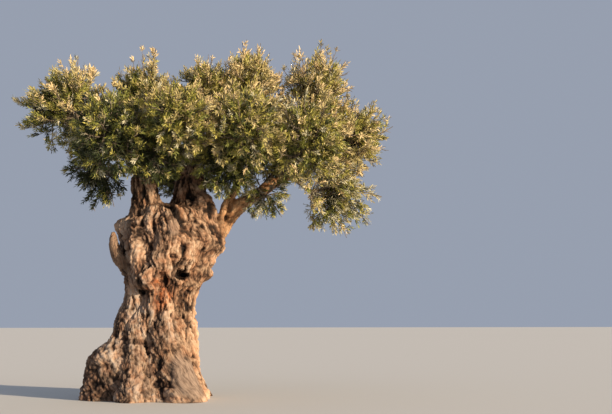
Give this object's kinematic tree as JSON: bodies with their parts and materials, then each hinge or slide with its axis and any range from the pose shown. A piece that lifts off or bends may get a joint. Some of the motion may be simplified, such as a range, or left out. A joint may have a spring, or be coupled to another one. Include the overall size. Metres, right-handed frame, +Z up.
{
  "type": "olive tree",
  "caption": "Ancient olive tree with a broad ribbed trunk, boughs that fork low and rise outwards, and a wide crown of narrow leaves; cut flat at ground level.",
  "frame": {"origin": "centre of the flat cut under the trunk, at ground level", "axes": "+Z up along the trunk, +X to the right and +Y away from the viewer as the tree is pictured"},
  "size_m": [5.395, 3.7379, 5.161],
  "materials": {
    "old_bark": "rough ribbed old bark, tan to grey",
    "young_bark": "fine grey-brown bark",
    "foliage": "matt grey-green leaves, silvery beneath"
  },
  "bodies": {
    "root": {"bough_left": "old_bark", "bough_middle": "old_bark", "bough_right": "old_bark", "bough_thin": "old_bark", "branch_back_low": "young_bark", "branch_back_middle": "young_bark", "branch_back_right": "young_bark", "branch_far_back": "young_bark", "branch_far_left": "young_bark", "branch_front_right": "young_bark", "branch_left_back": "young_bark", "branch_left_front": "young_bark", "branch_left_low": "young_bark", "branch_left_top": "young_bark", "branch_low_cluster": "young_bark", "branch_middle": "young_bark", "branch_middle_front": "young_bark", "branch_middle_left": "young_bark", "branch_right": "young_bark", "branch_right_back": "young_bark", "branch_right_front": "young_bark", "branch_right_low": "young_bark", "branch_right_middle": "young_bark", "branch_top_middle": "young_bark", "branch_top_right": "young_bark", "foliage_back_low": "foliage", "foliage_back_middle": "foliage", "foliage_back_right": "foliage", "foliage_far_back": "foliage", "foliage_far_left": "foliage", "foliage_front_right": "foliage", "foliage_left_back": "foliage", "foliage_left_front": "foliage", "foliage_left_low": "foliage", "foliage_left_top": "foliage", "foliage_low_cluster": "foliage", "foliage_middle": "foliage", "foliage_middle_front": "foliage", "foliage_middle_left": "foliage", "foliage_right": "foliage", "foliage_right_back": "foliage", "foliage_right_front": "foliage", "foliage_right_low": "foliage", "foliage_right_middle": "foliage", "foliage_top_crown": "foliage", "foliage_top_middle": "foliage", "foliage_top_right": "foliage", "trunk": "old_bark"}
  },
  "joints": []
}
